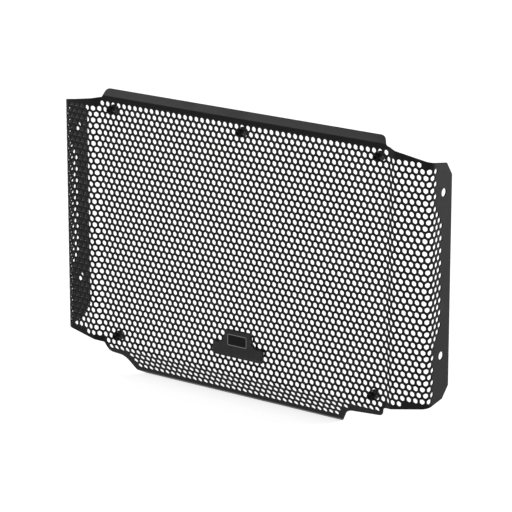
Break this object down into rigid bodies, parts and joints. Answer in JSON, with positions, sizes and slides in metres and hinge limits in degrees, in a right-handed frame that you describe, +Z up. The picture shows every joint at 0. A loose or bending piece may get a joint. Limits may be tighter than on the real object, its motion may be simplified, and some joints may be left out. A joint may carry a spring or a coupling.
{
  "type": "motorcycle radiator guard",
  "caption": "Folded black metal guard with a honeycomb field of openings, stepped wings and bolt-on sides, screwed buffers and a small plate on its front.",
  "frame": {"origin": "centre of the guard's box, upright as it is mounted", "axes": "+X to the right of someone who looks at the front, +Y back towards the radiator, +Z up"},
  "size_m": [0.3808, 0.0342, 0.255],
  "materials": {
    "powder_coat": "satin black powder coat",
    "badge_plastic": "satin moulded",
    "black_steel": "satin black coating",
    "buffer_rubber": "matt",
    "insert_brass": "machined"
  },
  "bodies": {
    "root": {"guard_panel": "powder_coat", "badge": "badge_plastic", "screw_top_left": "black_steel", "screw_top_middle": "black_steel", "screw_top_right": "black_steel", "screw_bottom_left": "black_steel", "screw_bottom_right": "black_steel", "buffer_top_left": "buffer_rubber", "buffer_top_middle": "buffer_rubber", "buffer_top_right": "buffer_rubber", "buffer_bottom_left": "buffer_rubber", "buffer_bottom_right": "buffer_rubber", "insert_top_left": "insert_brass", "insert_top_middle": "insert_brass", "insert_top_right": "insert_brass", "insert_bottom_left": "insert_brass", "insert_bottom_right": "insert_brass"}
  },
  "joints": []
}
